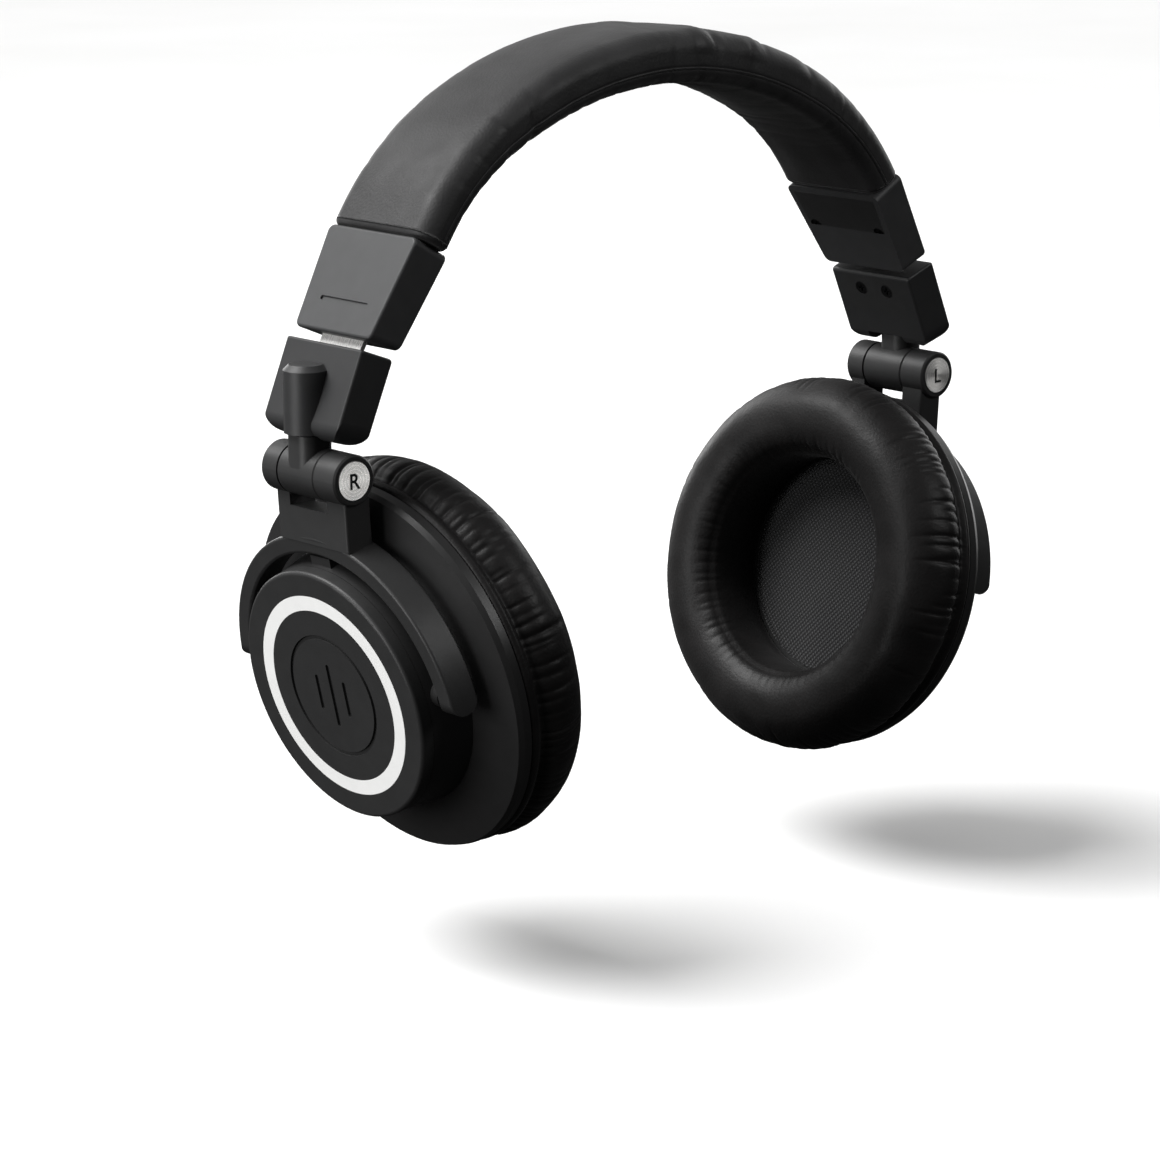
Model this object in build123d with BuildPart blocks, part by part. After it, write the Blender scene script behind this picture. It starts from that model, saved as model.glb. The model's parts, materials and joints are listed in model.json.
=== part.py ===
from build123d import *
from math import cos, radians, sin
import os

os.makedirs("parts", exist_ok=True)

# Over-ear headphones, millimetres. X runs across the head (wearer's right at -X),
# the front is -Y and Z is up. The origin is the underside of the headband's top.
# The left side is modelled and the right side is its mirror image.

# Headband: each half of the arch is two tangent arcs
arch_split = 28
arch_end = 59
pad_thickness = 12.4
upper_arcs = (106.4, 76.2)
lower_arcs = (102.1, 58.4)
pad_width = 35
pad_edge = 3.6
core_depth = 7
core_thickness = 1
core_width = 22
core_tail = 6

# Slider: everything that slides keeps to the strip's own line
slide_origin = (89.1, 0, -53.8)
slide_lean = 30
strip_width = 15
strip_thickness = 1.2
strip_up = 36
strip_down = 9.5
strip_screw = 6
strip_screw_y = (4.5, -4.5)
stop_width = 17.4
stop_height = 3
detent_pitch = 3
gap = 0.3

# End cap of the headband, measured from the strip
cap_top = 26.6
cap_outer = 4.45
cap_inner_top = 5.9
cap_inner_low = 5.0
cap_low_outer = 0.7
cap_low_inner = 1.9
cap_top_width = 32
cap_low_width = 27.4
cap_wall = 1.8
cap_ceiling = 2.7
lid_depth = 3.05
cap_screws = ((11.2, 14), (-11.2, 14))

# Slider housing and the swivel post on its outer face
housing_low = -73.4
housing_inner_low = (93.8, -76.2)
housing_width = 27.4
neck_room = 6.1
post_x = 99.4
hinge_y = 0.9
post_radius = 5.3
post_top = -57.5
swivel_radius = 2.6
running = 0.05
pin_top = -61.4
clip_low = -63.4
clip_radius = 4
chamber_low = -63.9
chamber_top = -60.4
lid_thickness = 1.8
housing_screws = ((4.5, -1.2), (-4.5, -1.2))

# Folding hinge
barrel_x = 97.3
barrel_z = -83.0
barrel_radius = 6
barrel_half = 13.5
knuckle_half = 6.6
hinge_pin_radius = 2
badge_radius = 4.65

# Yoke
plate_half = 12.7
notch_z = -91.6
yoke_outer = 39.6
yoke_inner = 35.1
yoke_drop = 0.7
yoke_depth = 3.8
yoke_rim = 8
pivot_up = 4
pivot_depth = yoke_depth + yoke_rim / 2
pivot_radius = 1.8
pin_start = 28.8
pin_end = 37.6
boss_start = 27
boss_end = 33.6

# Ear cup, measured from the middle of its outer face, inwards
cup_origin = (93.8, 0, -137.0)
cup_lean = 13.2
cover_radius = 31.4
cover_edge = 3.5
drum_radius = 33.2
drum_end = 14
flange_radius = 46.4
cup_edge = 20.2
ring_radii = (25.3, 21.6)
ring_depth = 0.8
groove_radius = 14.9
baffle_radius = 43.2
baffle_thickness = 2
driver_radius = 22
ear_opening = 28
ear_pad_radius = 47.5
ear_pad_face = 41
magnet_radius = 14
magnet_height = 6
socket_radius = 4
socket_length = 16
jack_radius = 1.35
jack_depth = 13

lean = (cos(radians(slide_lean)), 0, sin(radians(slide_lean)))
slide_side = Plane(origin=slide_origin, x_dir=lean, z_dir=(0, -1, 0))
slide_face = Plane(origin=slide_origin, x_dir=(0, 1, 0), z_dir=lean)

cup_in = (-cos(radians(cup_lean)), 0, sin(radians(cup_lean)))
cup_up = (sin(radians(cup_lean)), 0, cos(radians(cup_lean)))
cup_face = Plane(origin=cup_origin, x_dir=(0, -1, 0), z_dir=cup_in)
cup_section = Plane(origin=cup_origin, x_dir=cup_up, z_dir=(0, -1, 0))
cup_axis = Axis(cup_origin, cup_in)
pivot_plane = Plane(
    origin=cup_section.from_local_coords((pivot_up, pivot_depth, 0)),
    x_dir=cup_up,
    z_dir=(0, -1, 0),
)
socket_plane = Plane(
    origin=cup_section.from_local_coords((-drum_radius - 0.6, pivot_depth + 1, 0)),
    x_dir=(0, 1, 0),
    z_dir=cup_up,
)

# The housing's sloping underside, seen from the head along it
housing_under = Plane(
    origin=(housing_inner_low[0], 0, housing_inner_low[1]),
    x_dir=(0, 1, 0),
    z_dir=(103.1 - housing_inner_low[0], 0, housing_low - housing_inner_low[1]),
)

# The housing's inner face, seen square on
housing_inner = Plane(origin=(87.75, 0, -62.2), x_dir=(0, 1, 0), z_dir=(-0.919, 0, -0.395))


def save(part, name):
    part.label = name
    export_step(part, f"parts/{name}.step")


def save_pair(part, name):
    save(part, "left_" + name)
    with BuildPart() as twin:
        mirror(part, about=Plane.YZ)
    save(twin.part, "right_" + name)


# ---------------------------------------------------------------- headband
with BuildPart() as headband_core:
    with BuildSketch(Plane.XZ):
        with BuildLine():
            middle = JernArc((0, pad_thickness - core_depth), (1, 0), upper_arcs[0] - core_depth, -arch_split)
            side = JernArc(middle @ 1, middle % 1, upper_arcs[1] - core_depth, arch_split - arch_end)
            Line(side @ 1, side @ 1 + (side % 1) * core_tail)
            mirror(about=Plane.YZ)
        trace(line_width=core_thickness)
    extrude(amount=core_width / 2, both=True)
save(headband_core.part, "headband_core")

with BuildPart() as headband_pad:
    with BuildSketch(Plane.XZ):
        with BuildLine():
            upper_mid = JernArc((0, pad_thickness), (1, 0), upper_arcs[0], -arch_split)
            upper_side = JernArc(upper_mid @ 1, upper_mid % 1, upper_arcs[1], arch_split - arch_end)
            lower_mid = JernArc((0, 0), (1, 0), lower_arcs[0], -arch_split)
            lower_side = JernArc(lower_mid @ 1, lower_mid % 1, lower_arcs[1], arch_split - arch_end)
            Line(upper_side @ 1, lower_side @ 1)
            mirror(about=Plane.YZ)
        make_face()
    extrude(amount=pad_width / 2, both=True)
    pad_sides = headband_pad.faces().filter_by(Axis.Y)
    fillet(pad_sides.edges().filter_by(GeomType.CIRCLE), radius=pad_edge)
    add(headband_core.part, mode=Mode.SUBTRACT)
    # Pockets that the slider strips run up into
    with BuildSketch(slide_side):
        with Locations((0, strip_up - 5)):
            Rectangle(strip_thickness + 2 * gap, 11)
    strip_pocket = extrude(amount=stop_width / 2 + gap, both=True, mode=Mode.SUBTRACT)
    mirror(strip_pocket, about=Plane.YZ, mode=Mode.SUBTRACT)
save(headband_pad.part, "headband_pad")


# ---------------------------------------------------------------- end cap
def cap_block(wall):
    """The end cap's outline, drawn in by a wall on every side but its two faces."""
    with BuildPart() as block:
        with BuildSketch(slide_side):
            with BuildLine():
                Polyline(
                    (cap_outer, cap_top - wall),
                    (-cap_inner_top, cap_top - wall),
                    (-cap_inner_low, cap_low_inner + wall),
                    (cap_outer, cap_low_outer + wall),
                    close=True,
                )
            make_face()
        extrude(amount=cap_top_width, both=True)
        with BuildSketch(slide_face):
            with BuildLine():
                Polyline(
                    (cap_top_width / 2 - wall, cap_top),
                    (cap_low_width / 2 - wall, cap_low_outer),
                    (wall - cap_low_width / 2, cap_low_outer),
                    (wall - cap_top_width / 2, cap_top),
                    close=True,
                )
            make_face()
        extrude(amount=10, both=True, mode=Mode.INTERSECT)
    return block.part


with BuildPart() as cap_hollow:
    add(cap_block(cap_wall))
    split(bisect_by=slide_face.offset(cap_ceiling), keep=Keep.BOTTOM)

with BuildPart() as end_cap:
    add(cap_block(0))
    corners = end_cap.edges().filter_by(lambda edge: abs((edge % 0.5).dot(slide_face.z_dir)) > 0.95)
    fillet(corners, radius=1.8)
    fillet(end_cap.faces().sort_by(Axis(slide_origin, lean))[-1].edges(), radius=0.7)
    add(cap_hollow.part, mode=Mode.SUBTRACT)
    # Mouth for the slider strip, and the way in for the core at the top
    with BuildSketch(slide_side):
        Rectangle(strip_thickness + 2 * gap, 10)
    extrude(amount=strip_width / 2 + gap, both=True, mode=Mode.SUBTRACT)
    with BuildSketch(slide_side):
        with Locations(((1 - lid_depth) / 2, cap_top)):
            Rectangle(1 + lid_depth, 6)
    extrude(amount=core_width / 2 + 0.1, both=True, mode=Mode.SUBTRACT)
    # Posts for the lid's screws
    with BuildSketch(slide_face.offset(-lid_depth)):
        with Locations(*cap_screws):
            Circle(2)
            Circle(0.9, mode=Mode.SUBTRACT)
    extrude(amount=lid_depth + cap_ceiling)
    # Grip line pressed into the outer face
    with BuildSketch(slide_face.offset(cap_outer)):
        with Locations((0, 8.6)):
            SlotOverall(17, 1.1)
    extrude(amount=-0.5, mode=Mode.SUBTRACT)
save_pair(end_cap.part, "end_cap")

with BuildPart() as end_cap_lid:
    add(cap_hollow.part)
    split(bisect_by=slide_face.offset(-lid_depth), keep=Keep.BOTTOM)
    with BuildSketch(slide_face.offset(-lid_depth)):
        with Locations(*cap_screws):
            Circle(1.1)
    extrude(amount=-5, mode=Mode.SUBTRACT)
    with BuildSketch(slide_face.offset(-lid_depth - 1)):
        with Locations(*cap_screws):
            Circle(1.9)
    extrude(amount=-5, mode=Mode.SUBTRACT)
save_pair(end_cap_lid.part, "end_cap_lid")

for spot, word in zip(cap_screws, ("rear", "front")):
    with BuildPart() as cap_screw:
        with BuildSketch(slide_face.offset(-lid_depth - 1)):
            with Locations(spot):
                Circle(1.85)
        extrude(amount=-1.1)
        with BuildSketch(slide_face.offset(-lid_depth - 1)):
            with Locations(spot):
                Circle(0.9)
        extrude(amount=5)
        # Cross slot
        with BuildSketch(slide_face.offset(-lid_depth - 2.1)):
            with Locations(spot):
                Rectangle(2, 0.5)
                Rectangle(0.5, 2)
        extrude(amount=0.6, mode=Mode.SUBTRACT)
    save_pair(cap_screw.part, f"end_cap_screw_{word}")

# Leaf that clicks into the strip's row of holes
with BuildPart() as detent_spring:
    with BuildSketch(slide_side):
        with BuildLine():
            Polyline((cap_ceiling - 0.2, 21), (cap_ceiling - 0.2, 17), (1.5, 10.5), (1.15, 9), (1.5, 7.5))
        trace(line_width=0.4)
        split(bisect_by=Plane.YZ.offset(cap_ceiling), keep=Keep.BOTTOM)
    extrude(amount=2.5, both=True)
save_pair(detent_spring.part, "detent_spring")


# ---------------------------------------------------------------- slider
with BuildPart() as slider_strip:
    with BuildSketch(slide_face.offset(-strip_thickness / 2)):
        with Locations((0, (strip_up - strip_down) / 2)):
            Rectangle(strip_width, strip_up + strip_down)
        with Locations((0, strip_up - stop_height / 2)):
            RectangleRounded(stop_width, stop_height, 0.8)
        with GridLocations(0, detent_pitch, 1, 10):
            with Locations((0, 17.5)):
                Circle(0.8, mode=Mode.SUBTRACT)
        with Locations(*[(y, -strip_screw) for y in strip_screw_y]):
            Circle(1.2, mode=Mode.SUBTRACT)
    extrude(amount=strip_thickness)
save_pair(slider_strip.part, "slider_strip")

with BuildPart() as slider_housing:
    with BuildSketch(Plane.XZ):
        with BuildLine():
            Polyline(
                (94.6, -53.0),
                (85.3, -56.5),
                housing_inner_low,
                (103.1, housing_low),
                close=True,
            )
        make_face()
        fillet(vertices().sort_by(Axis.Y)[0:2], radius=3.5)
        fillet(vertices().sort_by(Axis.X)[0], radius=1)
    extrude(amount=housing_width / 2, both=True)
    outer_face = slider_housing.faces().filter_by(lambda face: face.normal_at().X > 0.9)
    fillet(outer_face.edges().sort_by(Axis.Z)[1:], radius=0.6)
    # Round the two lower corners, square to the sloping underside
    with BuildSketch(housing_under):
        with Locations((0, 20)):
            RectangleRounded(housing_width, 40, 5)
    extrude(amount=60, both=True, mode=Mode.INTERSECT)
    # Room for the knuckle's neck to turn, open towards the head
    with BuildSketch(Plane.XY.offset(housing_low)):
        with Locations((post_x, hinge_y)):
            Circle(neck_room)
        with Locations((post_x - 10, hinge_y)):
            Rectangle(20, 2 * neck_room)
    extrude(amount=-10, mode=Mode.SUBTRACT)
    # Swivel post
    with BuildSketch(Plane.XZ.offset(-hinge_y)):
        with BuildLine():
            Polyline(
                (post_x, housing_low),
                (post_x + post_radius, housing_low),
                (post_x + post_radius, post_top - 1.3),
                (post_x + post_radius - 1.3, post_top),
                (post_x, post_top),
                close=True,
            )
        make_face()
    revolve(axis=Axis((post_x, hinge_y, 0), (0, 0, 1)))
    # Bore for the swivel pin, with a chamber for its clip
    with BuildSketch(Plane.XY.offset(housing_low)):
        with Locations((post_x, hinge_y)):
            Circle(swivel_radius + running)
    extrude(amount=13, mode=Mode.SUBTRACT)
    with BuildSketch(Plane.XY.offset(chamber_low)):
        with Locations((post_x, hinge_y)):
            Circle(clip_radius + gap)
    extrude(amount=chamber_top - chamber_low, mode=Mode.SUBTRACT)
    # Pocket for the lid, seat for the strip and holes for the screws
    with BuildSketch(housing_inner):
        RectangleRounded(20, 10, 1.5)
    extrude(amount=-lid_thickness, mode=Mode.SUBTRACT)
    with BuildSketch(slide_side):
        with Locations((0, 2 - strip_down / 2)):
            Rectangle(strip_thickness, strip_down + 4)
    extrude(amount=strip_width / 2, both=True, mode=Mode.SUBTRACT)
    with BuildSketch(housing_inner):
        with Locations(*housing_screws):
            Circle(0.9)
    extrude(amount=-8, mode=Mode.SUBTRACT)
save_pair(slider_housing.part, "slider_housing")

with BuildPart() as housing_lid:
    with BuildSketch(housing_inner):
        RectangleRounded(20, 10, 1.5)
    extrude(amount=-lid_thickness)
    with BuildSketch(housing_inner):
        with Locations(*housing_screws):
            Circle(1.9)
    extrude(amount=-1, mode=Mode.SUBTRACT)
    with BuildSketch(housing_inner):
        with Locations(*housing_screws):
            Circle(0.9)
    extrude(amount=-lid_thickness, mode=Mode.SUBTRACT)
save_pair(housing_lid.part, "housing_lid")

for spot, word in zip(housing_screws, ("rear", "front")):
    with BuildPart() as housing_screw:
        with BuildSketch(housing_inner.offset(-0.1)):
            with Locations(spot):
                Circle(1.85)
        extrude(amount=-0.9)
        with BuildSketch(housing_inner.offset(-1)):
            with Locations(spot):
                Circle(0.9)
        extrude(amount=-7)
        with BuildSketch(housing_inner.offset(-0.1)):
            with Locations(spot):
                Rectangle(2, 0.5)
                Rectangle(0.5, 2)
        extrude(amount=-0.5, mode=Mode.SUBTRACT)
    save_pair(housing_screw.part, f"housing_screw_{word}")


# ---------------------------------------------------------------- swivel
with BuildPart() as swivel_knuckle:
    with BuildSketch(Plane.XZ.offset(-hinge_y)):
        with Locations((barrel_x, barrel_z)):
            Circle(barrel_radius)
    extrude(amount=knuckle_half, both=True)
    chamfer(swivel_knuckle.edges().filter_by(GeomType.CIRCLE), length=0.3)
    with BuildSketch(Plane.XY.offset(barrel_z)):
        with Locations((98.6, hinge_y)):
            RectangleRounded(9, 8.6, 3)
    extrude(amount=housing_low - 0.4 - barrel_z)
    with BuildSketch(Plane.XY.offset(barrel_z)):
        with Locations((post_x, hinge_y)):
            Circle(swivel_radius)
    extrude(amount=pin_top - barrel_z)
    chamfer(swivel_knuckle.edges().group_by(Axis.Z)[-1], length=0.4)
    with BuildSketch(Plane.XY.offset(clip_low)):
        with Locations((post_x, hinge_y)):
            Circle(swivel_radius + 1)
            Circle(2.1, mode=Mode.SUBTRACT)
    extrude(amount=1, mode=Mode.SUBTRACT)
    with BuildSketch(Plane.XZ.offset(-hinge_y)):
        with Locations((barrel_x, barrel_z)):
            Circle(hinge_pin_radius + running)
    extrude(amount=knuckle_half + 1, both=True, mode=Mode.SUBTRACT)
save_pair(swivel_knuckle.part, "swivel_knuckle")

with BuildPart() as swivel_clip:
    with BuildSketch(Plane.XY.offset(clip_low)):
        with Locations((post_x, hinge_y)):
            Circle(clip_radius)
            Circle(2.1, mode=Mode.SUBTRACT)
        with Locations((post_x, hinge_y - 3)):
            Rectangle(1.6, 6, mode=Mode.SUBTRACT)
    extrude(amount=1)
save_pair(swivel_clip.part, "swivel_clip")


# ---------------------------------------------------------------- yoke
with BuildPart() as yoke_ring:
    with BuildSketch(cup_face.offset(yoke_depth)):
        with Locations((0, -yoke_drop)):
            Circle(yoke_outer)
            Circle(yoke_inner, mode=Mode.SUBTRACT)
    extrude(amount=yoke_rim)
    fillet(yoke_ring.edges().group_by(Axis(cup_origin, cup_in))[0], radius=0.7)
    fillet(yoke_ring.edges().group_by(Axis(cup_origin, cup_in))[-1], radius=0.5)
    # Arms end in a full round about the cup's pivots
    with BuildSketch(pivot_plane):
        Circle(yoke_rim / 2)
        with Locations((30, 0)):
            Rectangle(60, 3 * yoke_rim)
    extrude(amount=60, both=True, mode=Mode.INTERSECT)

with BuildPart() as yoke:
    # Plate between the hinge and the ring
    with BuildSketch(Plane.XZ):
        with BuildLine():
            Polyline((99.9, barrel_z), (98.7, -100), (91.3, -100), (92.6, barrel_z), close=True)
        make_face()
    extrude(amount=plate_half, both=True)
    fillet(yoke.edges().filter_by(lambda edge: abs((edge % 0.5).Z) > 0.9), radius=0.6)
    with BuildSketch(cup_face):
        with Locations((0, -yoke_drop)):
            Circle(yoke_inner)
    extrude(amount=3 * yoke_rim, both=True, mode=Mode.SUBTRACT)
    add(yoke_ring.part)
    # Outer knuckles
    with BuildSketch(Plane.XZ):
        with Locations((barrel_x, barrel_z)):
            Circle(barrel_radius)
    extrude(amount=barrel_half, both=True)
    chamfer(yoke.faces().filter_by(Axis.Y).sort_by(Axis.Y)[0].edges(), length=0.4)
    chamfer(yoke.faces().filter_by(Axis.Y).sort_by(Axis.Y)[-1].edges(), length=0.4)
    # Space for the middle knuckle, open below it as a slot
    with BuildSketch(Plane.XZ.offset(-hinge_y)):
        with Locations((barrel_x, notch_z + 10)):
            Rectangle(20, 20)
    extrude(amount=knuckle_half + gap, both=True, mode=Mode.SUBTRACT)
    with BuildSketch(Plane.XZ):
        with Locations((barrel_x, barrel_z)):
            Circle(hinge_pin_radius)
    extrude(amount=barrel_half - 1.2, both=True, mode=Mode.SUBTRACT)
    # Seat for the metal badge on the front end
    with BuildSketch(Plane.XZ.offset(barrel_half)):
        with Locations((barrel_x, barrel_z)):
            Circle(badge_radius)
    extrude(amount=-1.2, mode=Mode.SUBTRACT)
    # Holes for the pivot pins
    with BuildSketch(pivot_plane):
        Circle(pivot_radius)
    extrude(amount=pin_end, both=True, mode=Mode.SUBTRACT)
save_pair(yoke.part, "yoke")

with BuildPart() as hinge_pin:
    with BuildSketch(Plane.XZ):
        with Locations((barrel_x, barrel_z)):
            Circle(hinge_pin_radius)
    extrude(amount=barrel_half - 1.2, both=True)
save_pair(hinge_pin.part, "hinge_pin")

with BuildPart() as hinge_badge:
    with BuildSketch(Plane.XZ.offset(barrel_half - 1.2)):
        with Locations((barrel_x, barrel_z)):
            Circle(badge_radius)
    extrude(amount=1.3)
    chamfer(hinge_badge.edges().group_by(Axis.Y)[0], length=0.2)
save_pair(hinge_badge.part, "hinge_badge")

for side, word in ((1, "front"), (-1, "rear")):
    with BuildPart() as pivot_pin:
        with BuildSketch(pivot_plane.offset(side * pin_start)):
            Circle(pivot_radius)
        extrude(amount=side * (pin_end - pin_start))
    save_pair(pivot_pin.part, f"pivot_pin_{word}")


# ---------------------------------------------------------------- ear cup
with BuildPart() as cup_shell:
    with BuildSketch(cup_section):
        with BuildLine():
            Polyline(
                (cover_radius, cover_edge),
                (drum_radius, drum_end),
                (flange_radius - 0.6, drum_end + 2.6),
                (flange_radius, drum_end + 4),
                (flange_radius, cup_edge),
                (baffle_radius, cup_edge),
                (baffle_radius, cup_edge - baffle_thickness),
                (baffle_radius - 2, cup_edge - baffle_thickness),
                (drum_radius - 2, drum_end + 1.8),
                (cover_radius - 2, cover_edge),
                close=True,
            )
        make_face()
    revolve(axis=cup_axis)
    # Bosses that the yoke's pins run in
    with BuildSketch(pivot_plane):
        Circle(3.2)
    extrude(amount=boss_end, both=True)
    with BuildSketch(cup_face):
        Circle(boss_start)
    extrude(amount=cup_edge, mode=Mode.SUBTRACT)
    with BuildSketch(pivot_plane):
        Circle(pivot_radius + running)
    extrude(amount=boss_end, both=True, mode=Mode.SUBTRACT)
    # Small stop on top of the drum, under the yoke's ring
    with BuildSketch(cup_face.offset(cover_edge + 1)):
        with Locations((0, drum_radius - 2)):
            Rectangle(7, 5)
    extrude(amount=5)

with BuildPart() as right_cup_shell:
    mirror(cup_shell.part, about=Plane.YZ)
save(right_cup_shell.part, "right_cup_shell")

# The left cup alone has the socket for its lead, at the bottom
with BuildPart() as left_cup_shell:
    add(cup_shell.part)
    with BuildSketch(socket_plane):
        Circle(socket_radius)
    extrude(amount=socket_length, mode=Mode.SUBTRACT)
save(left_cup_shell.part, "left_cup_shell")

with BuildPart() as cable_socket:
    with BuildSketch(socket_plane):
        Circle(socket_radius)
    extrude(amount=socket_length)
    chamfer(cable_socket.faces().sort_by(Axis.Z)[0].edges(), length=0.3)
    with BuildSketch(socket_plane):
        Circle(jack_radius)
    extrude(amount=jack_depth, mode=Mode.SUBTRACT)
save(cable_socket.part, "left_cable_socket")

with BuildPart() as cup_cover:
    with BuildSketch(cup_section):
        with BuildLine():
            Polyline(
                (0, 0),
                (cover_radius - 0.15, 0),
                (cover_radius, cover_edge - 0.1),
                (cover_radius - 2, cover_edge - 0.1),
                (cover_radius - 2, cover_edge + 0.9),
                (cover_radius - 3.4, cover_edge + 0.9),
                (cover_radius - 3.4, 2.2),
                (0, 2.2),
                close=True,
            )
        make_face()
    revolve(axis=cup_axis)
    rim = cup_cover.edges().filter_by(GeomType.CIRCLE).filter_by(lambda edge: edge.radius > cover_radius - 0.2)
    fillet(rim.sort_by(cup_axis)[0], radius=0.9)
    # Seat for the ring inlay, the round groove and three plain bars
    with BuildSketch(cup_face):
        Circle(ring_radii[0])
        Circle(ring_radii[1], mode=Mode.SUBTRACT)
    extrude(amount=ring_depth, mode=Mode.SUBTRACT)
    with BuildSketch(cup_face):
        Circle(groove_radius + 0.5)
        Circle(groove_radius - 0.5, mode=Mode.SUBTRACT)
        for across, length in ((-5, 9), (0, 16), (5, 9)):
            with Locations((across, 0)):
                SlotOverall(length, 1.2, rotation=90)
    extrude(amount=0.6, mode=Mode.SUBTRACT)
save_pair(cup_cover.part, "cup_cover")

with BuildPart() as ring_inlay:
    with BuildSketch(cup_face):
        Circle(ring_radii[0])
        Circle(ring_radii[1], mode=Mode.SUBTRACT)
    extrude(amount=ring_depth)
save_pair(ring_inlay.part, "ring_inlay")

with BuildPart() as baffle:
    with BuildSketch(cup_face.offset(cup_edge)):
        Circle(baffle_radius)
        Circle(driver_radius, mode=Mode.SUBTRACT)
        with PolarLocations(25, 12):
            Circle(1.5, mode=Mode.SUBTRACT)
    extrude(amount=-baffle_thickness)
save_pair(baffle.part, "baffle")

with BuildPart() as driver_frame:
    with BuildSketch(cup_section):
        with BuildLine():
            Polyline(
                (driver_radius, cup_edge),
                (driver_radius, cup_edge - 4),
                (magnet_radius, cup_edge - 6.5),
                (magnet_radius - 2, cup_edge - 6.5),
                (magnet_radius - 2, cup_edge - 5.5),
                (driver_radius - 1.2, cup_edge - 3),
                (driver_radius - 1.2, cup_edge),
                close=True,
            )
        make_face()
    revolve(axis=cup_axis)
save_pair(driver_frame.part, "driver_frame")

with BuildPart() as driver_magnet:
    with BuildSketch(cup_face.offset(cup_edge - 6.5)):
        Circle(magnet_radius)
        Circle(2.5, mode=Mode.SUBTRACT)
    extrude(amount=-magnet_height)
    chamfer(driver_magnet.faces().sort_by(cup_axis)[0].outer_wire().edges(), length=1)
save_pair(driver_magnet.part, "driver_magnet")

with BuildPart() as diaphragm:
    with BuildSketch(cup_section):
        with BuildLine():
            dome = ThreePointArc((0, cup_edge - 0.6), (5, cup_edge - 1), (9, cup_edge - 2.4))
            roll = ThreePointArc(dome @ 1, (15, cup_edge - 1.2), (driver_radius - 1.2, cup_edge - 2.4))
            offset(amount=0.15, side=Side.RIGHT)
        make_face()
    revolve(axis=cup_axis)
save_pair(diaphragm.part, "driver_diaphragm")

with BuildPart() as driver_cloth:
    with BuildSketch(cup_face.offset(cup_edge)):
        Circle(ear_opening - 0.2)
    extrude(amount=0.6)
save_pair(driver_cloth.part, "driver_cloth")

with BuildPart() as ear_pad:
    with BuildSketch(cup_section):
        with BuildLine():
            Polyline(
                (ear_opening, cup_edge),
                (ear_pad_radius - 1.5, cup_edge),
                (ear_pad_radius, cup_edge + 6),
                (ear_pad_radius, ear_pad_face),
                (ear_opening, ear_pad_face),
                close=True,
            )
        make_face()
        face_corners = vertices().group_by(Axis.Y)[-1].sort_by(Axis.X)
        fillet(face_corners[-1], radius=9)
        fillet(face_corners[0], radius=6)
    revolve(axis=cup_axis)
save_pair(ear_pad.part, "ear_pad")
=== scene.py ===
"""Over-ear headphones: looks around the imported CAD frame.

Metres, Z up, wearer's right ear at -X, front at -Y.
"""
import json
import math

import bmesh
import bpy
import numpy as np
from mathutils import Matrix, Vector, noise
from mathutils.kdtree import KDTree


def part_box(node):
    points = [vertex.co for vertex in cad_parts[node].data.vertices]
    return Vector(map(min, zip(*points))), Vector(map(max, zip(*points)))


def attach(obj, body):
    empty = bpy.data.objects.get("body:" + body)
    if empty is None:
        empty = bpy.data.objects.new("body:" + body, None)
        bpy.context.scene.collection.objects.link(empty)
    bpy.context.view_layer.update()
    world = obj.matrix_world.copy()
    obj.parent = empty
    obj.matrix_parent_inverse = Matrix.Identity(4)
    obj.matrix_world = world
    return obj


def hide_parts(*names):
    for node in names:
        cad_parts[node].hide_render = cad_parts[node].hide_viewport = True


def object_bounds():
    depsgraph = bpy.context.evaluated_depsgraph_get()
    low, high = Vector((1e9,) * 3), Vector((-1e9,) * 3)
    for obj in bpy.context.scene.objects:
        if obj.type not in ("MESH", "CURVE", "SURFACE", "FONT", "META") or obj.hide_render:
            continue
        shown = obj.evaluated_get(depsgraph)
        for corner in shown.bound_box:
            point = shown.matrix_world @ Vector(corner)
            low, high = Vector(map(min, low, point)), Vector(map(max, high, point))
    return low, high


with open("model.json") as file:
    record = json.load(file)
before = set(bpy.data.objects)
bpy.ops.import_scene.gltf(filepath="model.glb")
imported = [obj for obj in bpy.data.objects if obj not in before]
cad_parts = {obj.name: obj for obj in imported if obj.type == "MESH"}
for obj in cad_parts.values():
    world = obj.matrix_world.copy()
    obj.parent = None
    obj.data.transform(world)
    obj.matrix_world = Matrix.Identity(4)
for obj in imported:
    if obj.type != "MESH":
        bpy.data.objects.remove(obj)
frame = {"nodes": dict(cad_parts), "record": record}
cad_box = [list(v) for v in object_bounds()]
nodes = frame["nodes"]
scene = bpy.context.scene
MM = 0.001

# ------------------------------------------------------------------ camera and light
AZ, EL, ROLL = math.radians(-42.107), math.radians(13.369), math.radians(-0.194)
back = Vector((math.sin(AZ) * math.cos(EL), -math.cos(AZ) * math.cos(EL), math.sin(EL)))
right = Vector((math.cos(AZ), math.sin(AZ), 0))
up = back.cross(right)
cam_x = right * math.cos(ROLL) + up * math.sin(ROLL)
cam_y = up * math.cos(ROLL) - right * math.sin(ROLL)
camera = bpy.data.objects.new("camera", bpy.data.cameras.new("camera"))
scene.collection.objects.link(camera)
stand_at = Matrix.Translation((-0.6575, -0.7100, 0.1057))
camera.matrix_world = stand_at @ Matrix((cam_x, cam_y, back)).transposed().to_4x4()
camera.data.sensor_width = 36
camera.data.lens = 124.1
camera.data.clip_start = 0.05
scene.camera = camera
scene.view_settings.view_transform = "Standard"


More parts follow.
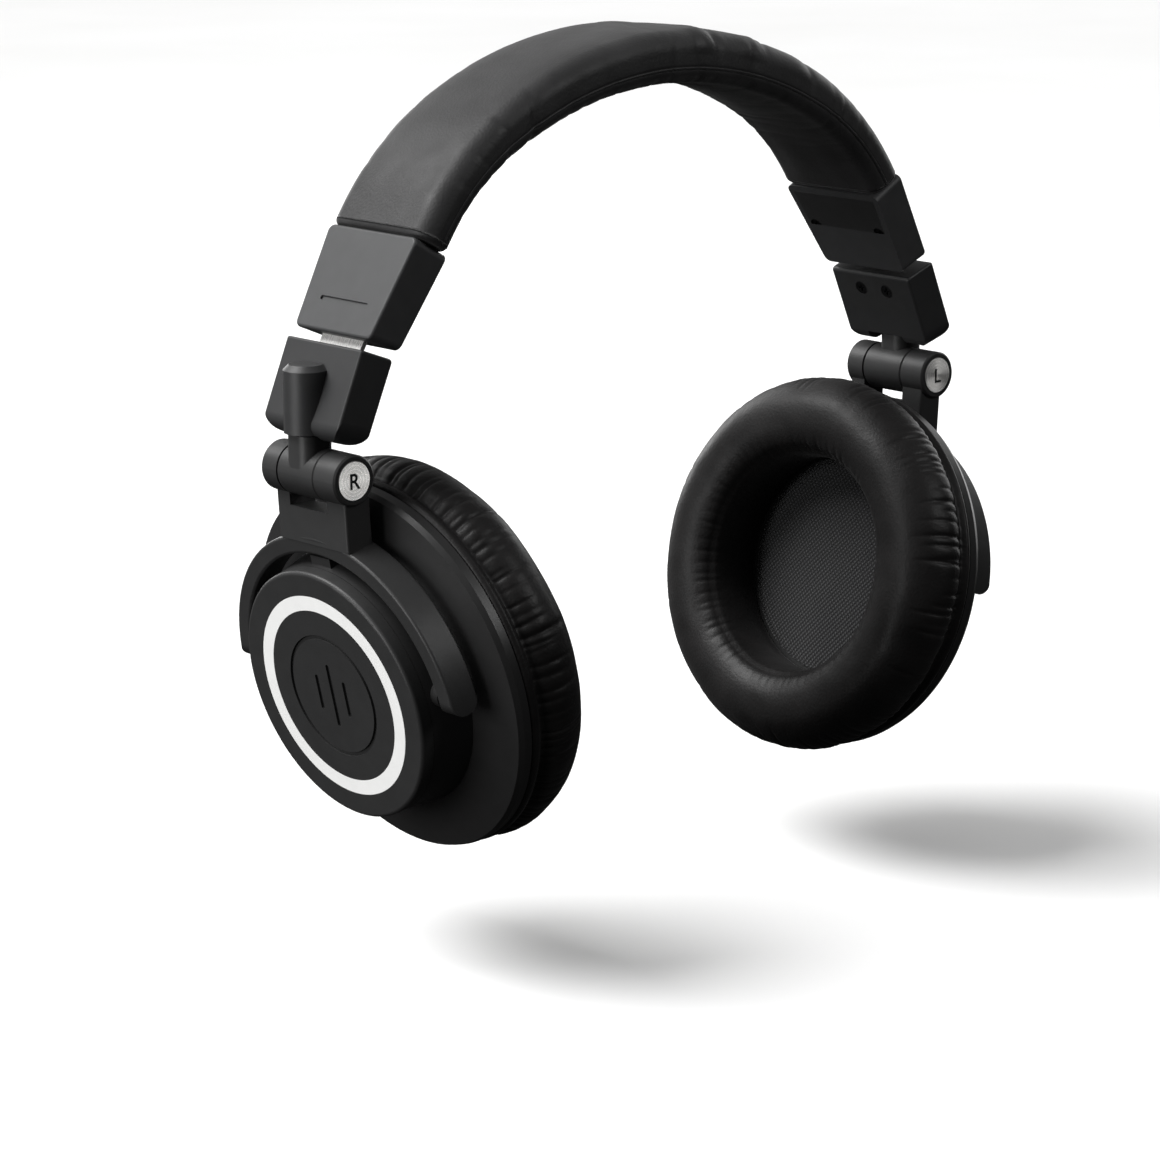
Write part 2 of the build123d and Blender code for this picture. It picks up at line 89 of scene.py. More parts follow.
def area_light(name, at, aim, size, power):
    data = bpy.data.lights.new(name, "AREA")
    data.shape = "RECTANGLE"
    data.size, data.size_y = size
    data.energy = power
    lamp = bpy.data.objects.new(name, data)
    scene.collection.objects.link(lamp)
    lamp.location = at
    lamp.visible_camera = False
    lamp.rotation_mode = "QUATERNION"
    lamp.rotation_quaternion = (Vector(at) - Vector(aim)).to_track_quat("Z", "Y")
    return lamp


sun = bpy.data.lights.new("key", "SUN")
sun.energy = 3.9
sun.angle = math.radians(38)
key = bpy.data.objects.new("key", sun)
scene.collection.objects.link(key)
key.rotation_mode = "QUATERNION"
key.rotation_quaternion = Vector((-0.46, 0.34, 0.82)).to_track_quat("Z", "Y")
area_light("left", (-1.45, 0.12, 0.02), (0, 0, -0.08), (0.9, 0.9), 16)
area_light("back", (-0.62, 1.0, 0.92), (0, 0, -0.05), (0.9, 0.5), 6)
area_light("right", (1.4, 0.35, 0.15), (0, 0, -0.08), (0.9, 0.9), 5.5)
area_light("rear", (0.35, 1.45, 0.2), (0, 0, -0.08), (0.7, 0.7), 6)
area_light("strip", (0.58, -0.98, 0.62), (-0.05, 0, -0.1), (0.13, 0.5), 4)
low_card = area_light("low_card", (0.28, -0.5, -0.15), (-0.09, 0, -0.083), (0.3, 0.14), 0.26)
metal_parts = bpy.data.collections.new("metal_parts")
for name in ("left_hinge_badge", "right_hinge_badge"):
    metal_parts.objects.link(nodes[name])
low_card.light_linking.receiver_collection = metal_parts

# The studio behind the camera is dim and the backdrop that the camera sees is white
world = bpy.data.worlds.new("studio")
scene.world = world
world.use_nodes = True
tree = world.node_tree
tree.nodes.clear()
output = tree.nodes.new("ShaderNodeOutputWorld")
mix = tree.nodes.new("ShaderNodeMixShader")
rays = tree.nodes.new("ShaderNodeLightPath")
backdrop = tree.nodes.new("ShaderNodeBackground")
room = tree.nodes.new("ShaderNodeBackground")
backdrop.inputs["Color"].default_value = (1, 1, 1, 1)
backdrop.inputs["Strength"].default_value = 0.97
direction = tree.nodes.new("ShaderNodeTexCoord")
facing = tree.nodes.new("ShaderNodeVectorMath")
facing.operation = "DOT_PRODUCT"
facing.inputs[1].default_value = Vector((-0.45, 0.3, 0.84)).normalized()
spread = tree.nodes.new("ShaderNodeMapRange")
spread.inputs["From Min"].default_value = -0.1
spread.inputs["From Max"].default_value = 0.95
spread.inputs["To Min"].default_value = 0.02
spread.inputs["To Max"].default_value = 0.5
tree.links.new(direction.outputs["Generated"], facing.inputs[0])
tree.links.new(facing.outputs["Value"], spread.inputs["Value"])
tree.links.new(spread.outputs["Result"], room.inputs["Strength"])
tree.links.new(rays.outputs["Is Camera Ray"], mix.inputs["Fac"])
tree.links.new(room.outputs["Background"], mix.inputs[1])
tree.links.new(backdrop.outputs["Background"], mix.inputs[2])
tree.links.new(mix.outputs["Shader"], output.inputs["Surface"])


# ------------------------------------------------------------------ materials
def new_material(name, color, rough, metallic=0.0, spec=0.5):
    mat = bpy.data.materials.new(name)
    mat.use_nodes = True
    tree = mat.node_tree
    shader = tree.nodes["Principled BSDF"]
    shader.inputs["Base Color"].default_value = (*color, 1)
    shader.inputs["Roughness"].default_value = rough
    shader.inputs["Metallic"].default_value = metallic
    shader.inputs["Specular IOR Level"].default_value = spec
    coords = tree.nodes.new("ShaderNodeTexCoord")
    return mat, tree, shader, coords.outputs["Object"]


def noise_tex(tree, coords, scale, detail=3, rough=0.55):
    tex = tree.nodes.new("ShaderNodeTexNoise")
    tex.inputs["Scale"].default_value = scale
    tex.inputs["Detail"].default_value = detail
    tex.inputs["Roughness"].default_value = rough
    tree.links.new(coords, tex.inputs["Vector"])
    return tex.outputs["Fac"]


def ramp(tree, value, stops):
    node = tree.nodes.new("ShaderNodeValToRGB")
    elements = node.color_ramp.elements
    while len(elements) < len(stops):
        elements.new(0.5)
    for element, (pos, color) in zip(elements, stops):
        element.position = pos
        element.color = (*color, 1)
    tree.links.new(value, node.inputs["Fac"])
    return node.outputs["Color"]


def remap(tree, value, low, high, from_low=0.25, from_high=0.75):
    node = tree.nodes.new("ShaderNodeMapRange")
    node.inputs["From Min"].default_value = from_low
    node.inputs["From Max"].default_value = from_high
    node.inputs["To Min"].default_value = low
    node.inputs["To Max"].default_value = high
    tree.links.new(value, node.inputs["Value"])
    return node.outputs["Result"]


def bump(tree, height, distance, strength=1.0, normal=None):
    node = tree.nodes.new("ShaderNodeBump")
    node.inputs["Distance"].default_value = distance
    node.inputs["Strength"].default_value = strength
    tree.links.new(height, node.inputs["Height"])
    if normal is not None:
        tree.links.new(normal, node.inputs["Normal"])
    return node.outputs["Normal"]


def plastic(name, color, rough, grain=0.00005, spread=0.04, tone=0.07):
    """Moulded plastic: fine spark-eroded grain, slow changes of sheen and a slightly uneven tone."""
    mat, tree, shader, coords = new_material(name, color, rough, spec=0.32)
    slow = noise_tex(tree, coords, 60, 4)
    tree.links.new(remap(tree, slow, rough - spread, rough + spread), shader.inputs["Roughness"])
    low = tuple(c * (1 - tone) for c in color)
    high = tuple(c * (1 + tone) for c in color)
    tones = ramp(tree, noise_tex(tree, coords, 220, 5), [(0.3, low), (0.7, high)])
    tree.links.new(tones, shader.inputs["Base Color"])
    fine = noise_tex(tree, coords, 5200, 2, 0.6)
    tree.links.new(bump(tree, fine, grain, 0.5), shader.inputs["Normal"])
    return mat


def leather(name, color, rough, grain_scale, grain_depth, sheen=0.25, spec=0.3):
    """Protein leather: pebbled grain of two sizes, patchy tone and a soft sheen."""
    mat, tree, shader, coords = new_material(name, color, rough, spec=spec)
    cells = tree.nodes.new("ShaderNodeTexVoronoi")
    cells.feature = "SMOOTH_F1"
    cells.inputs["Scale"].default_value = grain_scale
    cells.inputs["Smoothness"].default_value = 0.6
    warp = tree.nodes.new("ShaderNodeTexNoise")
    warp.inputs["Scale"].default_value = grain_scale * 0.3
    tree.links.new(coords, warp.inputs["Vector"])
    add = tree.nodes.new("ShaderNodeVectorMath")
    add.operation = "MULTIPLY_ADD"
    add.inputs[1].default_value = (0.0012,) * 3
    tree.links.new(warp.outputs["Color"], add.inputs[0])
    tree.links.new(coords, add.inputs[2])
    tree.links.new(add.outputs["Vector"], cells.inputs["Vector"])
    pores = noise_tex(tree, coords, grain_scale * 2.6, 3, 0.6)
    first = bump(tree, cells.outputs["Distance"], grain_depth, 0.55)
    tree.links.new(bump(tree, pores, grain_depth * 0.35, 0.4, first), shader.inputs["Normal"])
    patches = noise_tex(tree, coords, 90, 4)
    low = tuple(c * 0.75 for c in color)
    high = tuple(c * 1.3 for c in color)
    tree.links.new(ramp(tree, patches, [(0.35, low), (0.65, high)]), shader.inputs["Base Color"])
    worn = remap(tree, noise_tex(tree, coords, 140, 5), rough - 0.07, rough + 0.07)
    tree.links.new(worn, shader.inputs["Roughness"])
    shader.inputs["Sheen Weight"].default_value = sheen
    shader.inputs["Sheen Roughness"].default_value = 0.45
    return mat


def metal(name, color, rough, stretch=(1, 1, 1), scale=900, spread=0.1, grain=0.00002, metallic=1.0):
    """Metal with fine directional marks."""
    mat, tree, shader, coords = new_material(name, color, rough, metallic)
    mapping = tree.nodes.new("ShaderNodeMapping")
    mapping.inputs["Scale"].default_value = stretch
    tree.links.new(coords, mapping.inputs["Vector"])
    lines = noise_tex(tree, mapping.outputs["Vector"], scale, 4, 0.65)
    tree.links.new(remap(tree, lines, rough - spread, rough + spread), shader.inputs["Roughness"])
    tree.links.new(bump(tree, lines, grain, 0.4), shader.inputs["Normal"])
    low = tuple(c * 0.86 for c in color)
    tones = ramp(tree, noise_tex(tree, coords, 300, 3), [(0.3, low), (0.7, color)])
    tree.links.new(tones, shader.inputs["Base Color"])
    return mat


def spun_badge():
    """A lathe-turned disc: fine rings about its own centre and the bow-tie gloss that they give."""
    mat, tree, shader, coords = new_material("badge", (0.78, 0.77, 0.75), 0.3, 1.0)
    parts = tree.nodes.new("ShaderNodeSeparateXYZ")
    tree.links.new(coords, parts.inputs[0])

    def math_node(operation, first, second=None):
        node = tree.nodes.new("ShaderNodeMath")
        node.operation = operation
        for socket, value in zip(node.inputs, (first, second)):
            if isinstance(value, (int, float)):
                socket.default_value = value
            elif value is not None:
                tree.links.new(value, socket)
        return node.outputs[0]

    side = math_node("SIGN", parts.outputs["X"])
    across = math_node("SUBTRACT", parts.outputs["X"], math_node("MULTIPLY", side, HINGE_X))
    rise = math_node("SUBTRACT", parts.outputs["Z"], HINGE_Z)
    squares = math_node("ADD", math_node("MULTIPLY", across, across), math_node("MULTIPLY", rise, rise))
    radius = math_node("SQRT", squares)
    along = tree.nodes.new("ShaderNodeCombineXYZ")
    tree.links.new(rise, along.inputs["X"])
    tree.links.new(math_node("MULTIPLY", across, -1.0), along.inputs["Z"])
    turned = tree.nodes.new("ShaderNodeVectorTransform")
    turned.vector_type = "VECTOR"
    turned.convert_from = "OBJECT"
    turned.convert_to = "WORLD"
    tree.links.new(along.outputs[0], turned.inputs[0])
    shader.inputs["Anisotropic"].default_value = 0.85
    tree.links.new(turned.outputs[0], shader.inputs["Tangent"])
    rings = math_node("SINE", math_node("MULTIPLY", radius, 2 * math.pi / 0.00022))
    jitter = math_node("SINE", math_node("MULTIPLY", radius, 2 * math.pi / 0.00083))
    tree.links.new(bump(tree, math_node("ADD", rings, jitter), 0.000006, 0.5), shader.inputs["Normal"])
    tree.links.new(remap(tree, rings, 0.24, 0.36, -1, 1), shader.inputs["Roughness"])
    tones = ramp(tree, jitter, [(0.0, (0.7, 0.69, 0.67)), (1.0, (0.82, 0.81, 0.79))])
    tree.links.new(tones, shader.inputs["Base Color"])
    return mat


def knit(name, color):
    """Fine knitted mesh: rows of small loops."""
    mat, tree, shader, coords = new_material(name, color, 0.85, spec=0.25)
    waves = []
    for angle in (0.0, math.pi / 2):
        turn = tree.nodes.new("ShaderNodeMapping")
        turn.inputs["Rotation"].default_value = (angle + math.pi / 4, 0, 0)
        tree.links.new(coords, turn.inputs["Vector"])
        wave = tree.nodes.new("ShaderNodeTexWave")
        wave.bands_direction = "Y"
        wave.inputs["Scale"].default_value = 330
        wave.inputs["Distortion"].default_value = 0.4
        tree.links.new(turn.outputs["Vector"], wave.inputs["Vector"])
        waves.append(wave.outputs["Fac"])
    weave = tree.nodes.new("ShaderNodeMath")
    weave.operation = "MULTIPLY"
    tree.links.new(waves[0], weave.inputs[0])
    tree.links.new(waves[1], weave.inputs[1])
    low = tuple(c * 0.35 for c in color)
    high = tuple(c * 1.9 for c in color)
    tree.links.new(ramp(tree, weave.outputs[0], [(0.1, low), (0.8, high)]), shader.inputs["Base Color"])
    tree.links.new(bump(tree, weave.outputs[0], 0.00025, 0.8), shader.inputs["Normal"])
    shader.inputs["Sheen Weight"].default_value = 0.2
    shader.inputs["Sheen Roughness"].default_value = 0.5
    return mat


HINGE_X, HINGE_Z = 97.3 * MM, -83.0 * MM
band_leather = leather("band_leather", (0.0145, 0.0143, 0.0147), 0.53, 1500, 0.00007, 0.12)
pad_leather = leather("pad_leather", (0.0065, 0.006, 0.006), 0.46, 1300, 0.00007, 0.03, 0.2)
grey_plastic = plastic("grey_plastic", (0.04, 0.0405, 0.0415), 0.46)
# A darker copy of the grey plastic for the slider housings: painted shade, because their more upright faces
# catch less light than the end caps
painted_shade_housing_plastic = plastic("painted_shade_housing_plastic", (0.022, 0.0222, 0.0228), 0.44)
black_plastic = plastic("black_plastic", (0.023, 0.023, 0.0232), 0.43)
gloss_black = plastic("gloss_black", (0.018, 0.0178, 0.018), 0.37, grain=0.00002)
socket_plastic = plastic("socket_plastic", (0.008, 0.008, 0.008), 0.5)
spring_steel = metal("spring_steel", (0.88, 0.87, 0.85), 0.3, (1, 12, 1), 500, metallic=0.45)
pin_steel = metal("pin_steel", (0.55, 0.55, 0.56), 0.32, (1, 10, 1), 400)
screw_steel = metal("screw_steel", (0.05, 0.05, 0.052), 0.38)
magnet_steel = metal("magnet_steel", (0.45, 0.45, 0.46), 0.35)
white_ring = plastic("white_ring", (0.84, 0.84, 0.83), 0.4, grain=0.00002, tone=0.02)
film = plastic("film", (0.42, 0.38, 0.3), 0.28, grain=0.00001)
cloth = knit("cloth", (0.02, 0.02, 0.021))
badge = spun_badge()
ink = plastic("ink", (0.008, 0.008, 0.008), 0.5)

LOOK = {
    "band_leather": band_leather,
    "pad_leather": pad_leather,
    "grey_plastic": grey_plastic,
    "black_plastic": black_plastic,
    "gloss_black": gloss_black,
    "white_ring": white_ring,
    "badge_steel": badge,
    "spring_steel": spring_steel,
    "screw_steel": screw_steel,
    "pin_steel": pin_steel,
    "driver_cloth": cloth,
    "diaphragm_film": film,
    "magnet_steel": magnet_steel,
    "socket_plastic": socket_plastic,
}
slot_of = {s["node"]: s["material_slot"] for s in frame["record"]["subparts"]}
for name, obj in nodes.items():
    obj.data.materials.clear()
    # The slider housings take the darker copy of the grey plastic, which is painted shade
    obj.data.materials.append(painted_shade_housing_plastic if name.endswith("slider_housing") else LOOK[slot_of[name]])

# ------------------------------------------------------------------ mesh helpers
def grid_faces(rows, cols, wrap_rows):
    first = np.arange(rows if wrap_rows else rows - 1)[:, None] * cols + np.arange(cols)[None, :]
    along = (first + cols) % (rows * cols)
    step = np.where(np.arange(cols) == cols - 1, 1 - cols, 1)[None, :]
    return np.stack([first, first + step, along + step, along], axis=-1).reshape(-1, 4).tolist()


def mesh_piece(name, points, faces, material):
    mesh = bpy.data.meshes.new(name)
    mesh.from_pydata(np.asarray(points).reshape(-1, 3).tolist(), [], faces)
    bm = bmesh.new()
    bm.from_mesh(mesh)
    bmesh.ops.recalc_face_normals(bm, faces=bm.faces)
    bm.to_mesh(mesh)
    bm.free()
    mesh.shade_smooth()
    mesh.materials.append(material)
    piece = bpy.data.objects.new(name, mesh)
    scene.collection.objects.link(piece)
    return piece


def grid_normals(points, wrap_rows):
    """Unit normals of a grid whose columns close on themselves."""
    around = np.roll(points, -1, axis=1) - np.roll(points, 1, axis=1)
    if wrap_rows:
        along = np.roll(points, -1, axis=0) - np.roll(points, 1, axis=0)
    else:
        along = np.gradient(points, axis=0)
    normals = np.cross(along, around)
    return normals / np.maximum(np.linalg.norm(normals, axis=-1, keepdims=True), 1e-12)


def outward(normals, points, centres):
    return normals * np.sign((normals * (points - centres)).sum(axis=-1, keepdims=True).mean())


def bumps(points, size, seed):
    """Smooth noise at every point, about -1 to 1."""
    shifted = points.reshape(-1, 3) / size + seed
    return np.array([noise.noise(Vector(p)) for p in shifted]).reshape(points.shape[:-1])


def blur(values, times, wrap_rows):
    """Evens out a grid of values whose columns close on themselves."""
    for _ in range(times):
        values = (np.roll(values, 1, axis=1) + 2 * values + np.roll(values, -1, axis=1)) / 4
        if wrap_rows:
            before, after = np.roll(values, 1, axis=0), np.roll(values, -1, axis=0)
        else:
            before = np.concatenate([values[:1], values[:-1]])
            after = np.concatenate([values[1:], values[-1:]])
        values = (before + 2 * values + after) / 4
    return values


SWELL_FRAMES = 20


def swell(points, faces, wrap_rows, held, cap, pressure=4.0, voxel=0.03, enlarge=10.0):
    """How far each point of a padded shape moves when the filling pushes.

    The cloth is simulated on a coarse copy at ten times life size.
    """
    flat = points.reshape(-1, 3)
    mesh = bpy.data.meshes.new("blob")
    mesh.from_pydata((flat * enlarge).tolist(), [], faces)
    bm = bmesh.new()
    bm.from_mesh(mesh)
    bmesh.ops.recalc_face_normals(bm, faces=bm.faces)
    bm.to_mesh(mesh)
    bm.free()
    blob = bpy.data.objects.new("blob", mesh)
    scene.collection.objects.link(blob)
    remesh = blob.modifiers.new("remesh", "REMESH")
    remesh.mode = "VOXEL"
    remesh.voxel_size = voxel
    coarse = bpy.data.meshes.new_from_object(blob.evaluated_get(bpy.context.evaluated_depsgraph_get()))
    blob.modifiers.clear()
    blob.data = coarse
    before = np.empty(len(coarse.vertices) * 3)
    coarse.vertices.foreach_get("co", before)
    before = before.reshape(-1, 3)
    pins = blob.vertex_groups.new(name="held")
    pins.add(np.flatnonzero(held(before / enlarge)).tolist(), 1.0, "REPLACE")
    cloth = blob.modifiers.new("cloth", "CLOTH")
    cloth.settings.quality = 5
    cloth.settings.vertex_group_mass = "held"
    cloth.settings.tension_stiffness = 5
    cloth.settings.compression_stiffness = 5
    cloth.settings.shear_stiffness = 3
    cloth.settings.use_pressure = True
    cloth.settings.uniform_pressure_force = pressure
    cloth.settings.effector_weights.gravity = 0
    for frame_number in range(1, SWELL_FRAMES + 1):
        scene.frame_set(frame_number)
    settled = blob.evaluated_get(bpy.context.evaluated_depsgraph_get()).data
    after = np.empty(len(settled.vertices) * 3)
    settled.vertices.foreach_get("co", after)
    shift = (after.reshape(-1, 3) - before) / enlarge
    length = np.linalg.norm(shift, axis=1)
    shift *= np.minimum(1, cap / np.maximum(length, 1e-9))[:, None]
    scene.frame_set(1)
    bpy.data.objects.remove(blob)
    tree = KDTree(len(before))
    for i, co in enumerate(before / enlarge):
        tree.insert(co, i)
    tree.balance()
    moved = np.empty_like(flat)
    for i, co in enumerate(flat):
        found = tree.find_n(co, 8)
        weights = np.array([1 / (f[2] + 0.001) for f in found])
        moved[i] = (shift[[f[1] for f in found]] * weights[:, None]).sum(axis=0) / weights.sum()
    return blur(moved.reshape(points.shape), 14, wrap_rows)


def tube(name, path, radius, material, sides=8):
    """A thin round tube along a line of points, closed at both ends."""
    path = np.asarray(path)
    along = np.gradient(path, axis=0)
    along /= np.linalg.norm(along, axis=1, keepdims=True)
    first = np.cross(along, [0.0, 1.0, 0.0])
    first /= np.linalg.norm(first, axis=1, keepdims=True)
    second = np.cross(along, first)
    turn = np.arange(sides) / sides * 2 * math.pi
    ring = first[:, None, :] * np.cos(turn)[None, :, None] + second[:, None, :] * np.sin(turn)[None, :, None]
    points = path[:, None, :] + ring * radius
    faces = grid_faces(len(path), sides, False)
    faces += [list(range(sides)), list(range((len(path) - 1) * sides, len(path) * sides))]
    return mesh_piece(name, points, faces, material)


# ------------------------------------------------------------------ headband cushion
# Each half of the arch is two tangent arcs, as in the frame:
# the turn where they meet, the last turn, and their radii in mm
ARCH_SPLIT, ARCH_END = math.radians(28), math.radians(59)
UPPER, LOWER, THICK = (106.4, 76.2), (102.1, 58.4), 12.4


def arch_point(turn, arcs, top):
    side = 1 if turn > 0 else -1
    turn = abs(turn)
    near = min(turn, ARCH_SPLIT)
    x = arcs[0] * math.sin(near)
    z = top - arcs[0] * (1 - math.cos(near))
    if turn > ARCH_SPLIT:
        x += arcs[1] * (math.sin(turn) - math.sin(ARCH_SPLIT))
        z -= arcs[1] * (math.cos(ARCH_SPLIT) - math.cos(turn))
    return np.array([side * x, z])


# Points along the section's flats, its rounded corners and its upright walls
FLAT, CORNER, WALL = 39, 8, 13


def corner(y, w, radius, first):
    """Points of a quarter turn, its ends left out."""
    turns = np.radians(np.linspace(first, first + 90, CORNER + 2)[1:-1])
    return [(y + radius * math.cos(a), w + radius * math.sin(a)) for a in turns]


def band_section(thick, half, top_round, low_round):
    """(y, w) around the cushion, anticlockwise from the top's rear; w is 0 underneath."""
    top, low = half - top_round, half - low_round
    out = [(y, thick) for y in np.linspace(top, -top, FLAT)]
    out += corner(-top, thick - top_round, top_round, 90)
    out += [(-half, w) for w in np.linspace(thick - top_round, low_round, WALL)]
    out += corner(-low, low_round, low_round, 180)
    out += [(y, 0.0) for y in np.linspace(-low, low, FLAT)]
    out += corner(low, low_round, low_round, 270)
    out += [(half, w) for w in np.linspace(low_round, thick - top_round, WALL)]
    out += corner(top, thick - top_round, top_round, 0)
    return np.array(out)


HALF = 17.1
SEAM_FRONT, SEAM_REAR = FLAT + CORNER + WALL - 1, 2 * FLAT + 3 * CORNER + WALL
END_ROUND = 1.5
turns = np.linspace(-ARCH_END, ARCH_END, 251)
rows, spans = [], []
for turn in turns:
    low, high = arch_point(turn, LOWER, 0.0), arch_point(turn, UPPER, THICK)
    thick = np.linalg.norm(high - low)
    section = band_section(thick - 0.6, HALF, 4.2, 3.4)
    y, w = section[:, 0], section[:, 1] + 0.3
    level = w / thick
    crown = 1 - (y / HALF) ** 2
    w = w + 0.25 * crown * level - 0.5 * crown * (1 - level)
    y = y + np.sign(y) * 0.45 * (1 - (2 * level - 1) ** 2) * (np.abs(y) / HALF) ** 4
    axis = (high - low) / thick
    rows.append(np.stack([low[0] + axis[0] * w, y, low[1] + axis[1] * w], axis=-1))
    spans.append((low + high) / 2)
rows, spans = np.array(rows), np.array(spans)
centres = np.stack([spans[:, 0], np.zeros(len(spans)), spans[:, 1]], axis=-1)[:, None, :]
# The ends are rounded over and tucked in behind the end caps' edges
for side in (0, -1):
    inner = 1 if side == 0 else -2
    toward = rows[side].mean(axis=0) - rows[inner].mean(axis=0)
    toward /= np.linalg.norm(toward)
    middle = centres[side]
    base = rows[side] - toward * END_ROUND
    root = middle - toward * END_ROUND
    extra = []
    for a in (0, 25, 50, 72, 90):
        inset = END_ROUND * (1 - math.cos(math.radians(a)))
        reach = np.linalg.norm(base - middle, axis=1, keepdims=True)
        shrink = 1 - inset / reach
        out = toward * END_ROUND * math.sin(math.radians(a))
        extra.append(root + (base - root) * shrink + out)
    extra.append(middle + (extra[-1] - middle) * 0.9)
    extra.append(middle + (extra[-1] - middle) * np.array([0.7, 0.8, 0.7]))
    extra = np.array(extra)
    if side == 0:
        rows = np.concatenate([extra[::-1], rows[2:]])
        centres = np.concatenate([np.repeat(centres[:1], len(extra), axis=0), centres[2:]])
    else:
        rows = np.concatenate([rows[:-2], extra])
        centres = np.concatenate([centres[:-2], np.repeat(centres[-1:], len(extra), axis=0)])
rows, centres = rows * MM, centres * MM
count, around = rows.shape[:2]
faces = grid_faces(count, around, False)
for start in (0, (count - 1) * around):
    # The ring closes as a ladder between its two long sides
    ladder = [start + i for i in range(FLAT + CORNER + 6, FLAT + CORNER + 6 + around // 2)]
    other = [start + (FLAT + CORNER + 5 - k) % around for k in range(len(ladder))]
    faces += [[ladder[k], ladder[k + 1], other[k + 1], other[k]] for k in range(len(ladder) - 1)]

rng = np.random.default_rng(11)
travel = np.concatenate([[0], np.cumsum(np.linalg.norm(np.diff(rows[:, 19], axis=0), axis=1))])
travel = (travel - travel[count // 2]) / MM
ends = np.clip((np.abs(travel[-1]) - np.abs(travel)) / 6, 0, 1)[:, None]


def band_held(co):
    """The cover is sewn down along both lower edges and tucked in at the ends."""
    x, y, z = np.abs(co[:, 0]) / MM, np.abs(co[:, 1]) / MM, co[:, 2] / MM
    far = x > LOWER[0] * math.sin(ARCH_SPLIT)
    centre_x = (LOWER[0] - LOWER[1]) * math.sin(ARCH_SPLIT)
    centre_z = (LOWER[0] - LOWER[1]) * math.cos(ARCH_SPLIT) - LOWER[0]
    over_side = np.hypot(x - centre_x, z - centre_z) - LOWER[1]
    above = np.where(far, over_side, np.hypot(x, z + LOWER[0]) - LOWER[0])
    return ((y > 14.6) & (above < 4.2)) | (x > 75)


rows = rows + swell(rows, faces, False, band_held, 0.0007) * ends[..., None]
normals = outward(grid_normals(rows, False), rows, centres)
column_y = rows[count // 2, :, 1] / MM
column_w = rows[count // 2, :, 2] / MM
on_top = np.clip((column_w - 7) / 4, 0, 1)
on_side = np.clip((np.abs(column_y) - 13) / 3, 0, 1)
below = np.clip((4 - column_w) / 3, 0, 1)
lift = np.zeros((count, around))
# Bunched leather over the crown, mostly towards the wearer's left:
# soft rolls with a sharper fold at the foot of each
for centre, width, depth, slant in (
    (-6, 4.5, 0.22, 0.10),
    (5, 3.6, 0.40, -0.20),
    (14, 3.2, 0.55, 0.16),
    (23, 3.8, 0.60, -0.08),
    (33, 3.0, 0.58, 0.20),
    (43, 4.4, 0.42, 0.05),
    (56, 6.0, 0.18, -0.1),
):
    reach = travel[:, None] - centre - slant * column_y[None, :]
    reach = reach - 1.4 * np.sin(column_y[None, :] / 5 + centre)
    across = 0.35 + 0.65 * np.cos((column_y[None, :] + 9 * math.sin(centre)) / 10) ** 2
    fold = np.exp(-(((reach - width * 1.25) / 0.9) ** 2))
    lift += depth * (0.8 * np.exp(-((reach / width) ** 2)) - 0.7 * fold) * across * on_top
# Fine upright creases down the sides and across the underside
for centre in np.sort(rng.uniform(-80, 80, 46)):
    width, depth = rng.uniform(0.7, 1.6), rng.uniform(0.06, 0.26)
    bend = rng.uniform(-0.35, 0.35)
    crease = np.exp(-(((travel[:, None] - centre - bend * (column_w[None, :] - 6)) / width) ** 2))
    side = 1 if rng.random() < 0.5 else -1
    lift -= depth * crease * on_side * np.clip(np.sign(column_y)[None, :] * side + 0.4, 0, 1)
for centre in np.arange(-82, 83, 5.5) + rng.uniform(-1.6, 1.6, 30):
    width, depth = rng.uniform(0.8, 1.5), rng.uniform(0.08, 0.24)
    reach = travel[:, None] - centre - 0.9 * np.sin(column_y[None, :] / 4 + centre)
    uneven = 0.6 + 0.4 * np.cos(column_y[None, :] / 7 + centre)
    lift -= depth * np.exp(-((reach / width) ** 2)) * below * uneven
# The seam: the leather dips on both sides of the piping
for seam in (SEAM_FRONT, SEAM_REAR):
    away = np.abs(np.arange(around) - seam)
    away = np.minimum(away, around - away)
    lift -= 0.42 * np.exp(-((away[None, :] / 1.1) ** 2))
lift += 0.09 * bumps(rows, 0.02, 3.0) + 0.04 * bumps(rows, 0.006, 9.0)
rows = rows + normals * (lift * ends * MM)[..., None]
band = mesh_piece("headband_cushion", rows, faces, band_leather)
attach(band, "headband")
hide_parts("headband_pad")
for name, seam in (("front", SEAM_FRONT), ("rear", SEAM_REAR)):
    path = rows[5:-5, seam] + normals[5:-5, seam] * 0.0001
    piping = tube("headband_piping_" + name, path, 0.00042, band_leather)
    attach(piping, "headband")

# ------------------------------------------------------------------ ear cushions
CUP_LEAN = math.radians(13.2)
CUP = np.array([93.8, 0, -137.0]) * MM
CUP_IN = np.array([-math.cos(CUP_LEAN), 0, math.sin(CUP_LEAN)])
CUP_UP = np.array([math.sin(CUP_LEAN), 0, math.cos(CUP_LEAN)])
# Radius and depth round the cushion: lip over the flange, gathered side, face, stitched mouth and inner wall
PROFILE = (
    (40.0, 20.3), (44.2, 20.3), (46.3, 20.5), (47.0, 21.4), (46.9, 22.4), (46.2, 23.2),
    (46.4, 24.2), (47.7, 26.2), (48.3, 29.0), (48.0, 31.8), (46.7, 35.0), (44.4, 37.8),
    (41.6, 39.8), (38.2, 40.7), (34.8, 40.6), (32.0, 39.6), (30.2, 38.2), (29.2, 36.6),
    (28.6, 34.2), (28.3, 30.0), (28.3, 25.0), (28.6, 21.4), (29.6, 20.3), (34.0, 20.3),
)
PAD_STEPS, PAD_TURNS = 84, 840


